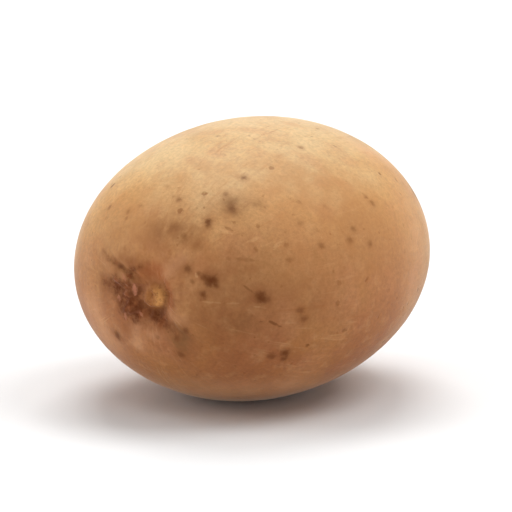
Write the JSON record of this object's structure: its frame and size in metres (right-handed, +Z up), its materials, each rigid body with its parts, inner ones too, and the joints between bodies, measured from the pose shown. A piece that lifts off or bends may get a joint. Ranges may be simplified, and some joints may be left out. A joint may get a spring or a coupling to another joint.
{
  "type": "sapodilla",
  "caption": "Whole sapodilla fruit lying on its side, with a dented stem end, a corky stalk scar in low creases, a dry style stump at the other end and a small flat resting spot.",
  "frame": {"origin": "on the surface that the fruit rests on, under the middle of its bounding box", "axes": "-X to the stem end, +X to the blossom end, +Y across its broad side, +Z up through its flatter side"},
  "size_m": [0.0772, 0.0642, 0.0518],
  "materials": {
    "skin": "matt tan-brown fruit skin, finely scurfy, with a soft broad sheen and darker dry remains round the stalk scar"
  },
  "bodies": {
    "root": {"sapodilla": "skin"}
  },
  "joints": []
}
